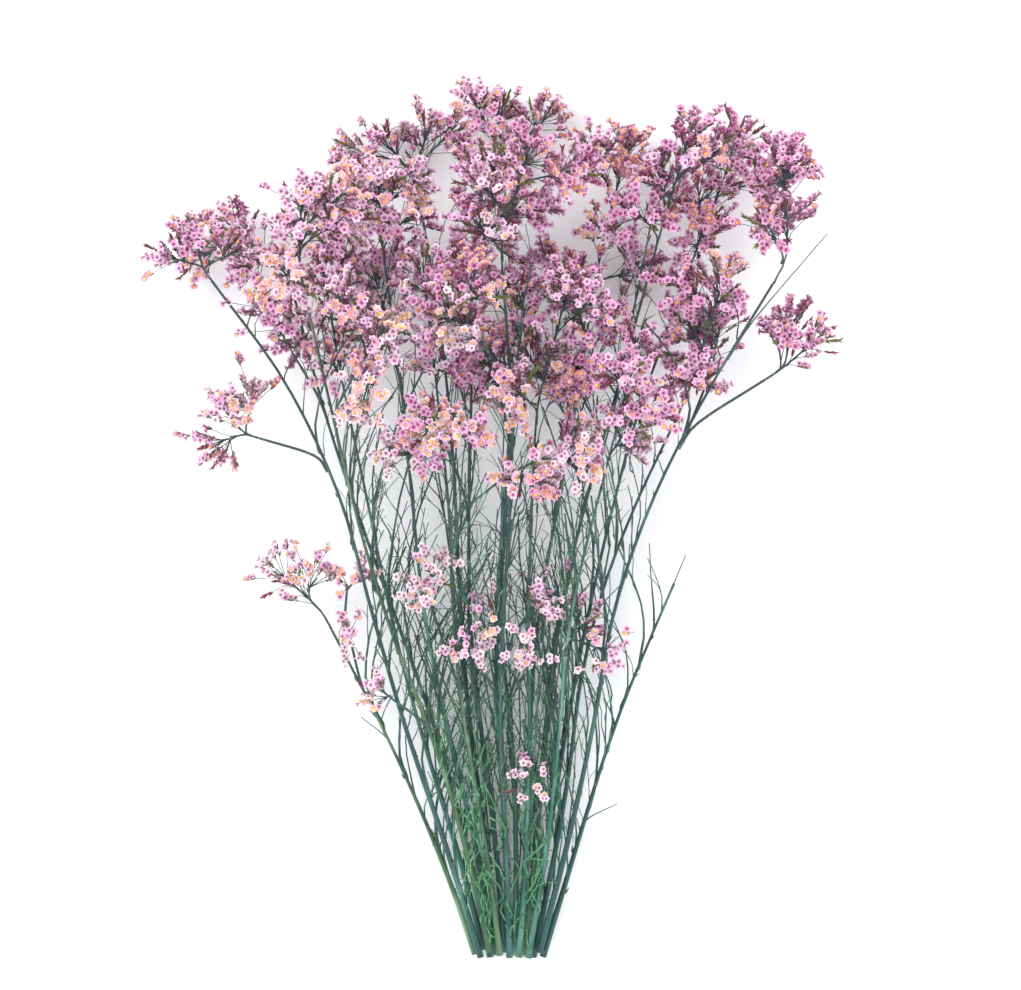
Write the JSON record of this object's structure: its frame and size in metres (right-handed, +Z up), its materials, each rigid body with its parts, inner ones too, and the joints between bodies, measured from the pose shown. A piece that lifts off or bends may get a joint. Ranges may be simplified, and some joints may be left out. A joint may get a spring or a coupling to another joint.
{
  "type": "dried statice bunch",
  "caption": "Cut bunch of dried statice lying down: bare green stems fan out to a dense mass of small papery pink-lilac flower heads.",
  "frame": {"origin": "on the surface that the bunch lies on, under the middle of its overall box", "axes": "+Y along the bunch from the cut ends to the flowers, +X across it to the picture's right, +Z up from the surface it lies on"},
  "size_m": [0.5448, 0.6954, 0.2318],
  "materials": {
    "stem_green": "matte deep green of dried stems",
    "calyx_pink": "dry papery pink-lilac petals"
  },
  "bodies": {
    "root": {"stem_top_0": "stem_green", "stem_top_1": "stem_green", "stem_top_2": "stem_green", "stem_top_3": "stem_green", "stem_top_4": "stem_green", "stem_top_5": "stem_green", "stem_top_6": "stem_green", "stem_middle_0": "stem_green", "stem_middle_1": "stem_green", "stem_middle_2": "stem_green", "stem_middle_3": "stem_green", "stem_middle_4": "stem_green", "stem_middle_5": "stem_green", "stem_middle_6": "stem_green", "stem_middle_7": "stem_green", "stem_bottom_0": "stem_green", "stem_bottom_1": "stem_green", "stem_bottom_2": "stem_green", "stem_bottom_3": "stem_green", "stem_bottom_4": "stem_green", "flower_spray_01": "calyx_pink", "flower_spray_02": "calyx_pink", "flower_spray_03": "calyx_pink", "flower_spray_04": "calyx_pink", "flower_spray_05": "calyx_pink", "flower_spray_06": "calyx_pink", "flower_spray_07": "calyx_pink", "flower_spray_08": "calyx_pink", "flower_spray_09": "calyx_pink", "flower_spray_10": "calyx_pink", "flower_spray_11": "calyx_pink", "flower_spray_12": "calyx_pink", "flower_spray_13": "calyx_pink", "flower_spray_14": "calyx_pink", "flower_spray_15": "calyx_pink", "flower_spray_16": "calyx_pink", "flower_spray_17": "calyx_pink", "flower_spray_18": "calyx_pink", "flower_spray_19": "calyx_pink", "flower_spray_20": "calyx_pink", "flower_spray_21": "calyx_pink", "flower_spray_22": "calyx_pink", "flower_spray_23": "calyx_pink", "flower_spray_24": "calyx_pink", "flower_spray_25": "calyx_pink", "flower_spray_26": "calyx_pink", "flower_spray_27": "calyx_pink", "flower_spray_28": "calyx_pink", "flower_spray_29": "calyx_pink", "flower_spray_30": "calyx_pink", "flower_spray_31": "calyx_pink", "flower_spray_32": "calyx_pink", "flower_spray_33": "calyx_pink", "flower_spray_34": "calyx_pink", "flower_spray_35": "calyx_pink", "flower_spray_36": "calyx_pink", "flower_spray_37": "calyx_pink", "flower_spray_38": "calyx_pink", "flower_spray_39": "calyx_pink"}
  },
  "joints": []
}
